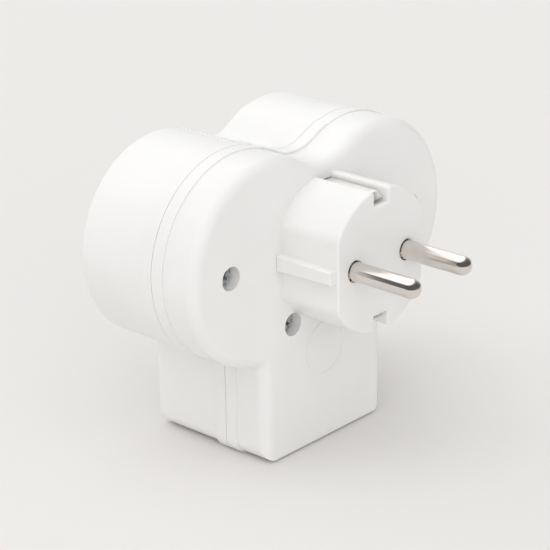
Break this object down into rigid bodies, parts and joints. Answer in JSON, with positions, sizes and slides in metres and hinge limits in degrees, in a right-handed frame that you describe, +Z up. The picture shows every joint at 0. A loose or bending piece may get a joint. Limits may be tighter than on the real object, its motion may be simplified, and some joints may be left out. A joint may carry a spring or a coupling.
{
  "type": "multi socket adapter",
  "caption": "Plug-in mains adapter: an earthed round-pin plug on the back of a lobed plastic housing, with round earthed wells and a flat unearthed socket on the front.",
  "frame": {"origin": "centre of the overall box at the base, on the lowest face of the block", "axes": "+Z up, -Y the way the plug pins point, +Y the way the sockets face, +X to the right seen from the plug side"},
  "size_m": [0.092, 0.0734, 0.0782],
  "materials": {
    "white_plastic": "smooth gloss, moulded white",
    "nickel": "bright nickel plate on brass",
    "brass": "plain punched and turned brass",
    "earth_strip": "plain spring strip, pale",
    "zinc_steel": "blue zinc plate"
  },
  "bodies": {
    "root": {"rear_cover": "white_plastic", "front_cover": "white_plastic", "plug_pin_left": "nickel", "plug_pin_right": "nickel", "live_busbar": "brass", "neutral_busbar": "brass", "left_live_contact": "brass", "left_neutral_contact": "brass", "right_live_contact": "brass", "right_neutral_contact": "brass", "flat_live_contact": "brass", "flat_neutral_contact": "brass", "plug_earth_bracket": "earth_strip", "earth_post": "brass", "earth_bar": "brass", "left_earth_yoke": "earth_strip", "right_earth_yoke": "earth_strip", "outer_left_screw": "zinc_steel", "outer_right_screw": "zinc_steel", "inner_left_screw": "zinc_steel", "inner_right_screw": "zinc_steel"}
  },
  "joints": []
}
